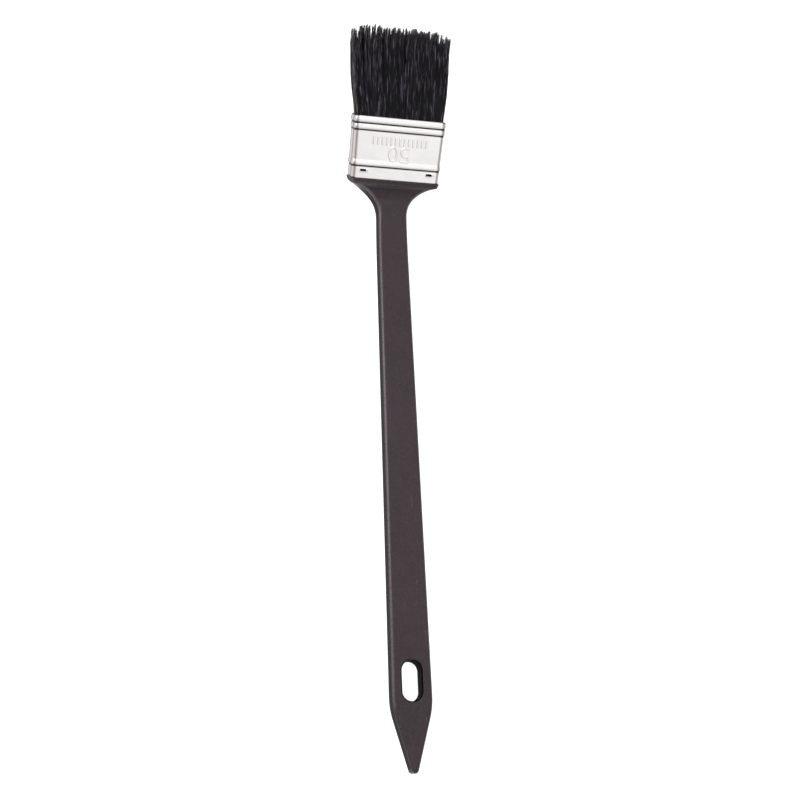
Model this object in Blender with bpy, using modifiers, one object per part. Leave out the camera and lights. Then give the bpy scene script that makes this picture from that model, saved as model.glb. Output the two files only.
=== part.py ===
"""A flat radiator brush: a long handle with its head bent up, a tinned steel ferrule and black bristle.

Metres, +Z up. The brush lies on the flat back of its handle, with the head towards +Y and its width along X.
The origin is the middle of that flat back. Everything hangs on the empty called brush, which stands under the
corner of the bend, where the centre lines of bar and head would cross. The head's pieces hang on head_frame,
an empty in that corner: their own X is the width, Y runs out along the head and Z is its thickness.
"""

import math

import bmesh
import bpy
from mathutils import Matrix, Vector

MM = 0.001

SEAT_GAP = 0.3 * MM  # between two pieces that touch
SINK = 0.6 * MM  # how far a piece that is joined to another starts inside it
CUT_PAST = 2.0 * MM  # how far a cutter runs past the wall that it cuts

# The handle's straight bar, from the bend to the pointed tail
BAR_LENGTH = 279.4 * MM  # bend's corner to the corners where the tail's point starts
BAR_THICKNESS = 10.0 * MM
BAR_WIDTH_AT_BEND = 16.2 * MM
BAR_WIDTH_AT_TAIL = 20.4 * MM
BAR_EDGE_RADIUS = 1.8 * MM
POINT_LENGTH = 30.8 * MM  # tail corners to the tip
POINT_TIP_RADIUS = 1.9 * MM
POINT_CORNER_EASE = 0.8 * MM  # how much of the width the corners lose to their rounding
HEAD_ANGLE = math.radians(38)
BEND_BAR_LEG = 35.3 * MM  # start of the bend to its corner
BEND_TO_SHOULDER = 14.4 * MM  # bend's corner to the shoulder's face

# The stadium-shaped hang slot
SLOT_LENGTH = 19.6 * MM
SLOT_WIDTH = 9.9 * MM
SLOT_FROM_CORNERS = 12.75 * MM  # tail corners to the slot's centre
SLOT_RIM_RADIUS = 0.9 * MM

# The ferrule, a band of tinned steel
FERRULE_LENGTH = 33.9 * MM
FERRULE_WIDTH = 50.5 * MM  # at its handle end
FERRULE_MOUTH_EXTRA = 1.2 * MM  # how much wider the mouth is
FERRULE_THICKNESS = 15.2 * MM
FERRULE_WALL = 0.4 * MM
FERRULE_CORNER_RADIUS = 2.6 * MM
BEAD_HEIGHT = 0.45 * MM
MOUTH_BEAD_WIDTH = 3.8 * MM
SECOND_BEAD_WIDTH = 3.7 * MM  # next to the mouth bead
HANDLE_BEAD_WIDTH = 3.5 * MM
HANDLE_BEAD_FROM_EDGE = 6.7 * MM  # handle-side edge of the ferrule to this bead
SEAM_WIDTH = 5.0 * MM  # the folded seam down the back
SEAM_HEIGHT = 0.75 * MM
SEAM_EDGE_INSET = 0.8 * MM

# The lances that lock the ferrule to the handle's tongue
LANCE_WIDTH = 3.3 * MM
LANCE_SLOT = 1.3 * MM
LANCE_FROM_EDGE = 4.4 * MM  # handle-side edge of the ferrule to the slot's centre
LANCE_FROM_SIDE = 6.4 * MM
LANCE_TAB_LENGTH = 1.9 * MM
LANCE_TAB_ANGLE = math.radians(40)
LANCE_TAB_THICKNESS = 0.28 * MM  # the pressed tab is thinner than the band
LANCE_POCKET_DEPTH = 2.4 * MM
LANCE_POCKET_MARGIN = 0.8 * MM

# The handle's neck, shoulder and tongue
SHOULDER_PROUD = 0.75 * MM  # how far the shoulder stands out past the ferrule
SHOULDER_RIM = 2.7 * MM  # length of the rim under the ferrule
SHOULDER_RIM_ROUND = 0.4 * MM
SHOULDER_TAPER = 1.0 * MM  # how far each side of the rim draws in towards the neck
SHOULDER_EDGE_RADIUS = 3.1 * MM
FLARE_LENGTH = 23.5 * MM  # along the centre line, where the neck swells to the shoulder
FLARE_POWER = 3.1  # how late it swells
TONGUE_LENGTH = 14.5 * MM
TONGUE_EDGE_RADIUS = 1.8 * MM

# The cast setting and the two filler strips
SETTING_THICKNESS = 6.0 * MM
ROOT_DEPTH = 4.0 * MM  # how deep the roots of the bristle sit in the setting
FILLER_THICKNESS = 2.2 * MM
FILLER_BELOW_MOUTH = 3.0 * MM
FILLER_SIDE_GAP = 1.2 * MM
FILLER_EDGE_RADIUS = 0.3 * MM

# The bristle
BRISTLE_OUT = 46.0 * MM  # mouth to tips
BRISTLE_SPREAD = 1.5 * MM  # how far each side swells past the ferrule's inside
SPREAD_LENGTH = 24.0 * MM  # mouth to where the sides are fully swollen
CLOSING_LENGTH = 8.0 * MM  # mouth to where the rows have closed up to each other
BRISTLE_LEAN = -4.6 * MM  # sideways drift of the tips
TIP_THICKNESS = 11.0 * MM
TIP_ROUND = 4.5 * MM
ROW_EDGE_RADIUS = 1.3 * MM
ROW_STATIONS = (0.1, 0.2, 0.3, 0.4, 0.5, 0.6, 0.7, 0.8, 0.9, 0.93, 0.96, 0.98, 0.995, 1.0)  # mouth to tips
ROW_NAMES = ("bristle_row_back", "bristle_row_middle", "bristle_row_front")
FILLER_NAMES = ("filler_strip_back", "filler_strip_front")

# Facets
SMOOTH_BELOW = math.radians(35)  # edges sharper than this stay sharp
FULLEST_CORNER = 0.98  # the most of half a side that a corner may take
TIP_STATIONS = (0.06, 0.25, 0.5, 0.85)  # shares of the tip's radius
PROFILE_STEP = 0.1 * MM  # closer points than this are merged
CORNER_FACETS = 5
SLOT_FACETS = 8
ROW_CORNER_FACETS = 3
FILLER_EDGE_FACETS = 2
BEND_FACETS = 20
BAR_FACETS = 12
POINT_FACETS = 16
RIM_FACETS = 5
BEAD_FACETS = 6

# Sizes that follow from the ones above
BEND_HEAD_LEG = BEND_TO_SHOULDER - SHOULDER_RIM  # bend's corner to the end of the bend
SHOULDER_FACE = BEND_TO_SHOULDER
FERRULE_START = SHOULDER_FACE + SEAT_GAP
FERRULE_END = FERRULE_START + FERRULE_LENGTH
INSIDE_THICKNESS = FERRULE_THICKNESS - 2 * FERRULE_WALL
TONGUE_END = FERRULE_START + TONGUE_LENGTH
SETTING_START = TONGUE_END + SEAT_GAP
SETTING_END = SETTING_START + SETTING_THICKNESS
ROOT_START = SETTING_END - ROOT_DEPTH
FILLER_START = SETTING_END + SEAT_GAP
FILLER_LENGTH = FERRULE_END - FILLER_BELOW_MOUTH - FILLER_START
SLOT_CENTRE_Y = -(BAR_LENGTH - SLOT_FROM_CORNERS)
REST_FACE_MIDDLE = (BAR_LENGTH + BEND_BAR_LEG) / 2  # bend's corner to the middle of the handle's flat back
ROW_COUNT = len(ROW_NAMES)
ROW_THICKNESS = (
    INSIDE_THICKNESS - 2 * SEAT_GAP * ROW_COUNT - (ROW_COUNT - 1) * FILLER_THICKNESS
) / ROW_COUNT
ROW_PITCH = ROW_THICKNESS + FILLER_THICKNESS + 2 * SEAT_GAP
ROW_CORNER = min(ROW_EDGE_RADIUS, FULLEST_CORNER * ROW_THICKNESS / 2)
# The outer rows stop where the ferrule's inside corners start to round, less their own corners.
OUTER_ROW_SIDE_GAP = max(FERRULE_CORNER_RADIUS - FERRULE_WALL - ROW_CORNER, SEAT_GAP)


def clear_scene():
    for obj in list(bpy.data.objects):
        bpy.data.objects.remove(obj, do_unlink=True)


def new_collection(name):
    collection = bpy.data.collections.new(name)
    bpy.context.scene.collection.children.link(collection)
    return collection


def new_empty(name, collection, parent=None):
    empty = bpy.data.objects.new(name, None)
    collection.objects.link(empty)
    empty.parent = parent
    return empty


def plain_material(name, color, roughness, metallic=0.0):
    material = bpy.data.materials.new(name)
    material.use_nodes = True
    shader = material.node_tree.nodes["Principled BSDF"]
    shader.inputs["Base Color"].default_value = (*color, 1.0)
    shader.inputs["Roughness"].default_value = roughness
    shader.inputs["Metallic"].default_value = metallic
    return material


def add_object(name, shape, collection, parent, material=None):
    """Makes an object of a bmesh, with its faces turned out and its round parts smooth."""
    bmesh.ops.recalc_face_normals(shape, faces=shape.faces)
    mesh = bpy.data.meshes.new(name)
    shape.to_mesh(mesh)
    shape.free()
    obj = bpy.data.objects.new(name, mesh)
    collection.objects.link(obj)
    obj.parent = parent
    if material:
        mesh.materials.append(material)
        mesh.shade_smooth()
        mesh.set_sharp_from_angle(angle=SMOOTH_BELOW)
    return obj


def rounded_outline(width, height, radius, facets=CORNER_FACETS):
    """Points (across, up) round a rectangle with round corners, which fit in its smaller side."""
    radius = min(radius, FULLEST_CORNER * min(width, height) / 2)
    points = []
    for quarter, (side, rise) in enumerate(((1, 1), (-1, 1), (-1, -1), (1, -1))):
        centre_x, centre_y = side * (width / 2 - radius), rise * (height / 2 - radius)
        for step in range(facets + 1):
            turn = math.pi / 2 * (quarter + step / facets)
            points.append((centre_x + radius * math.cos(turn), centre_y + radius * math.sin(turn)))
    return points


def loft(rings, closed_ends=True):
    """A skin over rings of points that all have the same count and run the same way."""
    shape = bmesh.new()
    loops = [[shape.verts.new(point) for point in ring] for ring in rings]
    for near, far in zip(loops, loops[1:]):
        for i, corner in enumerate(near):
            j = (i + 1) % len(near)
            shape.faces.new((corner, near[j], far[j], far[i]))
    if closed_ends:
        shape.faces.new(loops[0])
        shape.faces.new(loops[-1])
    return shape


def box(size, centre, turn=0.0):
    """A box, turned about its own X."""
    shape = bmesh.new()
    placed = Matrix.Translation(centre) @ Matrix.Rotation(turn, 4, "X") @ Matrix.Diagonal((*size, 1))
    bmesh.ops.create_cube(shape, size=1, matrix=placed)
    return shape


def combine(obj, tool, operation):
    """Cuts the tool's shape from the object, or joins it on. The tool is a hidden guide."""
    tool.hide_render = True
    tool.display_type = "WIRE"
    modifier = obj.modifiers.new(f"{operation.lower()} {tool.name}", "BOOLEAN")
    modifier.operation = operation
    modifier.object = tool


def bar_width(y):
    """The bar's width, which grows evenly from the bend's corner to the tail."""
    share = max(-y, 0) / BAR_LENGTH
    return BAR_WIDTH_AT_BEND + (BAR_WIDTH_AT_TAIL - BAR_WIDTH_AT_BEND) * share


def point_half_width(from_tip):
    """Half the width of the tail's point: a round tip, and straight sides that are tangent to it."""
    to_corners = POINT_LENGTH - POINT_TIP_RADIUS
    half = BAR_WIDTH_AT_TAIL / 2
    slope = math.atan2(half, to_corners) - math.asin(POINT_TIP_RADIUS / math.hypot(half, to_corners))
    if from_tip < POINT_TIP_RADIUS * (1 - math.sin(slope)):
        return math.sqrt(POINT_TIP_RADIUS**2 - (POINT_TIP_RADIUS - from_tip) ** 2)
    return POINT_TIP_RADIUS / math.cos(slope) + (from_tip - POINT_TIP_RADIUS) * math.tan(slope)


def tail_width(y):
    """Width near the tail: the lesser of the bar and the point, eased where the two cross."""
    bar = bar_width(y)
    point = 2 * point_half_width(y + BAR_LENGTH + POINT_LENGTH)
    ease = 4 * POINT_CORNER_EASE
    overlap = max(ease - abs(bar - point), 0) / ease
    return min(bar, point) - overlap**2 * ease / 4


def point_thickness(from_tip):
    """The tip's two faces round over to its end as far as they do to its sides."""
    short = max(BAR_EDGE_RADIUS - from_tip, 0)
    return BAR_THICKNESS - 2 * (BAR_EDGE_RADIUS - math.sqrt(BAR_EDGE_RADIUS**2 - short**2))


def shoulder_width():
    return FERRULE_WIDTH + 2 * SHOULDER_PROUD


def shoulder_thickness():
    return FERRULE_THICKNESS + 2 * SHOULDER_PROUD


def tongue_width():
    return FERRULE_WIDTH - 2 * FERRULE_WALL - 2 * SEAT_GAP


def bar_stations():
    """(y, z, tilt, width, thickness, edge radius) along the straight bar, from the tip to the bend."""
    tip = -(BAR_LENGTH + POINT_LENGTH)
    near_tip = [POINT_TIP_RADIUS * share for share in TIP_STATIONS]
    past_corners = range(2, POINT_FACETS + POINT_FACETS // 4)
    distances = near_tip + [POINT_LENGTH * step / POINT_FACETS for step in past_corners]
    middle_start = distances[-1]
    middle = BAR_LENGTH + POINT_LENGTH - BEND_BAR_LEG - middle_start
    distances += [middle_start + middle * step / BAR_FACETS for step in range(1, BAR_FACETS + 1)]
    stations = []
    for distance in distances:
        y = tip + distance
        width = tail_width(y) if distance < middle_start else bar_width(y)
        thickness = point_thickness(distance)
        stations.append((y, BAR_THICKNESS / 2, 0.0, width, thickness, BAR_EDGE_RADIUS))
    return stations


def bend_points():
    """(y, z, tilt) of the centre line through the bend: a parabola, tangent to the bar and to the head."""
    points = []
    for step in range(1, BEND_FACETS + 1):
        share = step / BEND_FACETS
        along_head = BEND_HEAD_LEG * share**2
        y = along_head * math.cos(HEAD_ANGLE) - BEND_BAR_LEG * (1 - share) ** 2
        ahead = BEND_HEAD_LEG * share * math.cos(HEAD_ANGLE) + BEND_BAR_LEG * (1 - share)
        tilt = math.atan2(BEND_HEAD_LEG * share * math.sin(HEAD_ANGLE), ahead)
        points.append((y, BAR_THICKNESS / 2 + along_head * math.sin(HEAD_ANGLE), tilt))
    return points


def bend_stations():
    """Towards the end of the bend the neck swells to the shoulder, in width and thickness."""
    points = bend_points()
    wide, deep = shoulder_width() - 2 * SHOULDER_TAPER, shoulder_thickness()
    stations = []
    to_rim = 0.0
    following = points[-1]
    for y, z, tilt in reversed(points):
        to_rim += math.dist((y, z), following[:2])
        following = (y, z, tilt)
        share = max(1 - to_rim / FLARE_LENGTH, 0)
        swell = share**FLARE_POWER
        width = bar_width(y) + (wide - bar_width(y)) * swell
        thickness = BAR_THICKNESS + (deep - BAR_THICKNESS) * swell
        radius = BAR_EDGE_RADIUS + (SHOULDER_EDGE_RADIUS - BAR_EDGE_RADIUS) * share
        stations.append((y, z, tilt, width, thickness, radius))
    return stations[::-1]


def head_station(along, width, thickness, radius):
    y = along * math.cos(HEAD_ANGLE)
    z = BAR_THICKNESS / 2 + along * math.sin(HEAD_ANGLE)
    return (y, z, HEAD_ANGLE, width, thickness, radius)


def rim_stations():
    """The shoulder ends in a rim with a rounded edge."""
    wide, deep = shoulder_width(), shoulder_thickness()
    narrow = 2 * SHOULDER_RIM_ROUND
    return [
        head_station(SHOULDER_FACE - SHOULDER_RIM_ROUND, wide, deep, SHOULDER_EDGE_RADIUS),
        head_station(SHOULDER_FACE, wide - narrow, deep - narrow, SHOULDER_EDGE_RADIUS),
    ]


def tongue_stations():
    """The tongue steps in from the shoulder's face and fills the handle end of the ferrule."""
    thickness = INSIDE_THICKNESS - 2 * SEAT_GAP
    stations = []
    for along in (SHOULDER_FACE, TONGUE_END):
        stations.append(head_station(along, tongue_width(), thickness, TONGUE_EDGE_RADIUS))
    return stations


def station_ring(station):
    y, z, tilt, width, thickness, radius = station
    ring = []
    for across, up in rounded_outline(width, thickness, radius):
        ring.append(Vector((across, y - up * math.sin(tilt), z + up * math.cos(tilt))))
    return ring


def hang_slot_cutter(guides, brush):
    """A stadium that opens out at both faces, so that it leaves a rounded rim."""
    levels = []
    for step in range(RIM_FACETS + 1):
        turn = math.pi / 2 * step / RIM_FACETS
        levels.append((SLOT_RIM_RADIUS * (1 - math.sin(turn)), SLOT_RIM_RADIUS * (1 - math.cos(turn))))
    lower = [(up, grow) for up, grow in reversed(levels)]
    upper = [(BAR_THICKNESS - up, grow) for up, grow in levels]
    heights = [(-CUT_PAST, SLOT_RIM_RADIUS), *lower, *upper, (BAR_THICKNESS + CUT_PAST, SLOT_RIM_RADIUS)]
    rings = []
    for height, grow in heights:
        outline = rounded_outline(SLOT_WIDTH + 2 * grow, SLOT_LENGTH + 2 * grow, SLOT_WIDTH, SLOT_FACETS)
        rings.append([Vector((x, SLOT_CENTRE_Y + y, height)) for x, y in outline])
    return add_object("hang_slot_cutter", loft(rings), guides, brush)


def lance_places():
    """(name, x, along, face) of each lance, where face is 1 at the front and -1 at the back."""
    x = FERRULE_WIDTH / 2 - LANCE_FROM_SIDE
    along = FERRULE_START + LANCE_FROM_EDGE
    for face, face_name in ((1, "front"), (-1, "back")):
        for side, side_name in ((-1, "left"), (1, "right")):
            yield f"lance_{face_name}_{side_name}", side * x, along, face


def build_handle(parts, guides, brush, head):
    plastic = plain_material("black_polypropylene", (0.017, 0.015, 0.016), 0.42)
    stations = bar_stations() + bend_stations() + rim_stations() + tongue_stations()
    handle = add_object("handle", loft([station_ring(s) for s in stations]), parts, brush, plastic)
    combine(handle, hang_slot_cutter(guides, brush), "DIFFERENCE")
    for name, x, along, face in lance_places():
        surface = face * (INSIDE_THICKNESS / 2 - SEAT_GAP)
        deep = LANCE_POCKET_DEPTH + CUT_PAST
        centre = (x, along + LANCE_POCKET_MARGIN / 2, surface + face * (CUT_PAST - LANCE_POCKET_DEPTH) / 2)
        size = (LANCE_WIDTH + 2 * LANCE_POCKET_MARGIN, LANCE_SLOT + 3 * LANCE_POCKET_MARGIN, deep)
        pocket = add_object(f"{name}_pocket", box(size, centre), guides, head)
        combine(handle, pocket, "DIFFERENCE")


def ferrule_width(along):
    share = (along - FERRULE_START) / FERRULE_LENGTH
    return FERRULE_WIDTH + FERRULE_MOUTH_EXTRA * share


def bead_profile():
    """(distance along the head, swell) of the band's outside, from the handle to the mouth."""
    mouth_bead = FERRULE_END - MOUTH_BEAD_WIDTH
    beads = (
        (FERRULE_START + HANDLE_BEAD_FROM_EDGE, HANDLE_BEAD_WIDTH),
        (mouth_bead - SECOND_BEAD_WIDTH, SECOND_BEAD_WIDTH),
        (mouth_bead, MOUTH_BEAD_WIDTH),
    )
    profile = [(FERRULE_START, 0.0)]
    for start, width in beads:
        for step in range(BEAD_FACETS + 1):
            share = step / BEAD_FACETS
            along = start + width * share
            if along > profile[-1][0] + PROFILE_STEP:
                profile.append((along, BEAD_HEIGHT * math.sin(math.pi * share)))
    return profile


def build_ferrule(parts, guides, head):
    steel = plain_material("tinned_steel", (0.78, 0.77, 0.75), 0.22, 1.0)
    rings = []
    for along, swell in bead_profile():
        width = ferrule_width(along) + 2 * swell
        thickness = FERRULE_THICKNESS + 2 * swell
        outline = rounded_outline(width, thickness, FERRULE_CORNER_RADIUS + swell)
        rings.append([Vector((x, along, z)) for x, z in outline])
    ferrule = add_object("ferrule", loft(rings, closed_ends=False), parts, head, steel)
    wall = ferrule.modifiers.new("wall", "SOLIDIFY")
    wall.thickness = FERRULE_WALL
    wall.offset = -1
    wall.use_even_offset = True
    for name, x, along, face in lance_places():
        outside = face * FERRULE_THICKNESS / 2
        size = (LANCE_WIDTH, LANCE_SLOT, 2 * (FERRULE_WALL + SINK))
        slot = add_object(f"{name}_slot", box(size, (x, along, outside)), guides, head)
        combine(ferrule, slot, "DIFFERENCE")
        combine(ferrule, lance_tab(name, x, along, face, guides, head), "UNION")
    seam_size = (SEAM_WIDTH, FERRULE_LENGTH - 2 * SEAM_EDGE_INSET, SEAM_HEIGHT + FERRULE_WALL / 2)
    seam_z = -(FERRULE_THICKNESS / 2 + (SEAM_HEIGHT - FERRULE_WALL / 2) / 2)
    seam_shape = box(seam_size, (0, (FERRULE_START + FERRULE_END) / 2, seam_z))
    combine(ferrule, add_object("folded_seam", seam_shape, guides, head), "UNION")


def lance_tab(name, x, along, face, guides, head):
    """The tongue of metal cut from the slot, pushed in over the handle side of the slot's edge."""
    root = along - LANCE_SLOT / 2
    surface = face * (FERRULE_THICKNESS / 2 - FERRULE_WALL / 2)
    turn = -face * LANCE_TAB_ANGLE
    reach = LANCE_TAB_LENGTH / 2 - SINK / 2
    centre = (x, root + reach * math.cos(turn), surface - face * reach * math.sin(LANCE_TAB_ANGLE))
    size = (LANCE_WIDTH - 2 * SEAT_GAP, LANCE_TAB_LENGTH, LANCE_TAB_THICKNESS)
    return add_object(f"{name}_tab", box(size, centre, turn), guides, head)


def inside_width(along):
    return ferrule_width(along) - 2 * FERRULE_WALL


def row_centre(index):
    """Height of a row's middle in the ferrule, counted from the back."""
    return (index - (ROW_COUNT - 1) / 2) * ROW_PITCH


def row_ring(index, along):
    """A row's outline at a distance along the head. Past the mouth the rows swell and close up."""
    past_mouth = max(along - FERRULE_END, 0)
    out = past_mouth / BRISTLE_OUT
    side_gap = OUTER_ROW_SIDE_GAP if index in (0, ROW_COUNT - 1) else SEAT_GAP
    width = inside_width(min(along, FERRULE_END)) - 2 * side_gap
    width += 2 * (BRISTLE_SPREAD + side_gap) * math.sin(math.pi / 2 * min(past_mouth / SPREAD_LENGTH, 1))
    to_tip = BRISTLE_OUT - past_mouth
    if to_tip < TIP_ROUND:
        width -= 2 * (TIP_ROUND - math.sqrt(TIP_ROUND**2 - (TIP_ROUND - to_tip) ** 2))
    closing = min(past_mouth / CLOSING_LENGTH, 1)
    pack = INSIDE_THICKNESS - 2 * SEAT_GAP + (TIP_THICKNESS - INSIDE_THICKNESS) * out**2
    loose = (pack - (ROW_COUNT - 1) * SEAT_GAP) / ROW_COUNT
    thickness = ROW_THICKNESS + (loose - ROW_THICKNESS) * closing
    centre = row_centre(index) * (1 - closing)
    centre += (index - (ROW_COUNT - 1) / 2) * (loose + SEAT_GAP) * closing
    lean = BRISTLE_LEAN * out
    outline = rounded_outline(width, thickness, ROW_CORNER, ROW_CORNER_FACETS)
    return [Vector((x + lean, along, z + centre)) for x, z in outline]


def build_bristle_rows(parts, head):
    black = plain_material("black_bristle", (0.012, 0.010, 0.013), 0.55)
    stations = [ROOT_START + SEAT_GAP, FERRULE_END]
    stations += [FERRULE_END + BRISTLE_OUT * share for share in ROW_STATIONS]
    for index, name in enumerate(ROW_NAMES):
        rings = [row_ring(index, along) for along in stations]
        add_object(name, loft(rings), parts, head, black)


def build_setting(parts, guides, head):
    resin = plain_material("amber_epoxy", (0.30, 0.19, 0.08), 0.3)
    middle = (SETTING_START + SETTING_END) / 2
    width = inside_width(SETTING_START) - 2 * SEAT_GAP
    thickness = INSIDE_THICKNESS - 2 * SEAT_GAP
    rings = []
    for along in (SETTING_START, SETTING_END):
        outline = rounded_outline(width, thickness, TONGUE_EDGE_RADIUS)
        rings.append([Vector((x, along, z)) for x, z in outline])
    setting = add_object("epoxy_setting", loft(rings), parts, head, resin)
    for index, name in enumerate(ROW_NAMES):
        size = (width + 2 * CUT_PAST, ROOT_DEPTH + CUT_PAST, ROW_THICKNESS + 2 * SEAT_GAP)
        place = (0, ROOT_START + (ROOT_DEPTH + CUT_PAST) / 2, row_centre(index))
        combine(setting, add_object(f"{name}_socket", box(size, place), guides, head), "DIFFERENCE")


def build_fillers(parts, head):
    board = plain_material("filler_board", (0.45, 0.36, 0.25), 0.7)
    along = FILLER_START + FILLER_LENGTH / 2
    for index, name in enumerate(FILLER_NAMES):
        width = inside_width(SETTING_END) - 2 * FILLER_SIDE_GAP
        height = (index - (len(FILLER_NAMES) - 1) / 2) * ROW_PITCH
        size = (width, FILLER_LENGTH, FILLER_THICKNESS)
        filler = add_object(name, box(size, (0, along, height)), parts, head, board)
        edges = filler.modifiers.new("edges", "BEVEL")
        edges.width = FILLER_EDGE_RADIUS
        edges.segments = FILLER_EDGE_FACETS


def build_brush():
    clear_scene()
    parts = new_collection("radiator_brush")
    guides = new_collection("cutters")
    brush = new_empty("brush", parts)
    brush.location = (0, REST_FACE_MIDDLE, 0)
    head = new_empty("head_frame", parts, brush)
    head.location = (0, 0, BAR_THICKNESS / 2)
    head.rotation_euler = (HEAD_ANGLE, 0, 0)
    build_handle(parts, guides, brush, head)
    build_ferrule(parts, guides, head)
    build_setting(parts, guides, head)
    build_fillers(parts, head)
    build_bristle_rows(parts, head)


build_brush()
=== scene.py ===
import math

import bmesh
import bpy
import numpy as np
from mathutils import Matrix, Vector


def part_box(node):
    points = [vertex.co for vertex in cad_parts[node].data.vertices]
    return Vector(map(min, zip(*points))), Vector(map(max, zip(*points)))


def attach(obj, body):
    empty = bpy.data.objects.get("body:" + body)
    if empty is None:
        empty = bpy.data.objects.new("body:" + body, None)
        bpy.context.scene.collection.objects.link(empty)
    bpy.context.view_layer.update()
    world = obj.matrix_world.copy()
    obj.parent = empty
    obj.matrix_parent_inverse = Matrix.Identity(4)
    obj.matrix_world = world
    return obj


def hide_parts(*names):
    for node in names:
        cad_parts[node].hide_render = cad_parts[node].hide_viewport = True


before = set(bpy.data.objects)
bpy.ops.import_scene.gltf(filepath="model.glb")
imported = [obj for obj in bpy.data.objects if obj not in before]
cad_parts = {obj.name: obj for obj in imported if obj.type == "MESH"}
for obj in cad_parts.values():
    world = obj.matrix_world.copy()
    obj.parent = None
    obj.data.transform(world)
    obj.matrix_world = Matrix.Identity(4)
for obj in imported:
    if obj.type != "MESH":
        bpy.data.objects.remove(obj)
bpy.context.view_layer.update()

mm = 0.001


# Materials are written as sums on sockets. A Wire is one output socket that does its own arithmetic.
class Wire:
    def __init__(self, nodes, socket):
        self.nodes, self.socket = nodes, socket

    def maths(self, operation, first, second):
        return self.nodes.add("ShaderNodeMath", {"operation": operation}, {0: first, 1: second})

    def __add__(self, other): return self.maths("ADD", self, other)
    def __radd__(self, other): return self.maths("ADD", other, self)
    def __sub__(self, other): return self.maths("SUBTRACT", self, other)
    def __rsub__(self, other): return self.maths("SUBTRACT", other, self)
    def __mul__(self, other): return self.maths("MULTIPLY", self, other)
    def __rmul__(self, other): return self.maths("MULTIPLY", other, self)

    def ramp(self, low, high):
        # 0 below low, 1 above high, eased between
        values = {0: self, 1: low, 2: high, 3: 0.0, 4: 1.0}
        return self.nodes.add("ShaderNodeMapRange", {"interpolation_type": "SMOOTHSTEP"}, values)


class Nodes:
    def __init__(self, tree):
        self.tree = tree

    def add(self, kind, settings=None, values=None, output=0):
        node = self.tree.nodes.new(kind)
        for name, value in (settings or {}).items():
            setattr(node, name, value)
        for key, value in (values or {}).items():
            if isinstance(value, Wire):
                self.tree.links.new(value.socket, node.inputs[key])
            else:
                node.inputs[key].default_value = value
        return Wire(self, node.outputs[output])


class Finish(Nodes):
    def __init__(self, name, **constants):
        self.material = bpy.data.materials.new(name)
        self.material.use_nodes = True
        super().__init__(self.material.node_tree)
        self.shader = self.tree.nodes["Principled BSDF"]
        for socket, value in constants.items():
            self.shader.inputs[socket.replace("_", " ")].default_value = value
        self.place = self.add("ShaderNodeTexCoord", output="Object")

    def stretched(self, x=1.0, y=1.0, z=1.0, turn=0.0):
        values = {"Vector": self.place, "Rotation": (turn, 0, 0), "Scale": (x, y, z)}
        return self.add("ShaderNodeMapping", {"vector_type": "TEXTURE"}, values)

    def noise(self, size, detail=2.0, vector=None, rough=0.5):
        values = {"Vector": vector or self.place, "Scale": 1 / size, "Detail": detail, "Roughness": rough}
        return self.add("ShaderNodeTexNoise", None, values)

    def attribute(self, name):
        return self.add("ShaderNodeAttribute", {"attribute_name": name}, output="Fac")

    def blend(self, share, first, second):
        values = {"Factor": share, 6: first, 7: second}
        return self.add("ShaderNodeMix", {"data_type": "RGBA"}, values, output=2)

    def bump(self, height, depth, under=None):
        values = {"Height": height, "Distance": depth}
        if under:
            values["Normal"] = under
        return self.add("ShaderNodeBump", None, values)

    def feed(self, **wires):
        for socket, wire in wires.items():
            self.tree.links.new(wire.socket, self.shader.inputs[socket.replace("_", " ")])
        return self.material


def pale(level, tint=(1.0, 1.0, 1.0)):
    return (*[level * part for part in tint], 1.0)


def corners(node):
    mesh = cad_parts[node].data
    found = np.empty(len(mesh.vertices) * 3)
    mesh.vertices.foreach_get("co", found)
    return found.reshape(-1, 3)


def middle(node):
    low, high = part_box(node)
    return (low + high) / 2


handleLow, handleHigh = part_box("handle")
handlePoints = corners("handle")
tailPoints = handlePoints[handlePoints[:, 1] < handleLow.y + 0.5 * (handleHigh.y - handleLow.y)]
barThickness = float(tailPoints[:, 2].max())

# The head's own frame: X across, Y out along the head from the bend, Z through its thickness
throughHead = (middle("filler_strip_front") - middle("filler_strip_back")).normalized()
alongHead = throughHead.cross(Vector((1, 0, 0)))
headAngle = math.atan2(alongHead.z, alongHead.y)
betweenFillers = (middle("filler_strip_front") + middle("filler_strip_back")) / 2
bend = betweenFillers - alongHead * ((betweenFillers.z - barThickness / 2) / alongHead.z)
headToWorld = Matrix.Translation(bend) @ Matrix.Rotation(headAngle, 4, "X")
worldToHead = np.array(headToWorld.inverted())


def headCorners(node):
    found = corners(node)
    return found @ worldToHead[:3, :3].T + worldToHead[:3, 3]


ferrulePoints = headCorners("ferrule")
ferruleStart, ferruleEnd = float(ferrulePoints[:, 1].min()), float(ferrulePoints[:, 1].max())
ferruleLength = ferruleEnd - ferruleStart


def endHalf(end, axis):
    near = ferrulePoints[abs(ferrulePoints[:, 1] - end) < 0.01 * mm]
    return float(near[:, axis].max())


ferruleHalfWidth = (endHalf(ferruleStart, 0), endHalf(ferruleEnd, 0))
ferruleHalfThick = endHalf(ferruleStart, 2)
print("head tilted by", round(math.degrees(headAngle), 2), "ferrule", ferruleLength, ferruleHalfWidth)


def makeMesh(name, points, faces, material):
    mesh = bpy.data.meshes.new(name)
    mesh.from_pydata([tuple(p) for p in points], [], faces)
    mesh.validate()
    mesh.update()
    mesh.shade_smooth()
    mesh.materials.append(material)
    piece = bpy.data.objects.new(name, mesh)
    bpy.context.scene.collection.objects.link(piece)
    return piece


def settle(piece, slot, *nodes):
    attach(piece, "root")
    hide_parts(*nodes)


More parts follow.
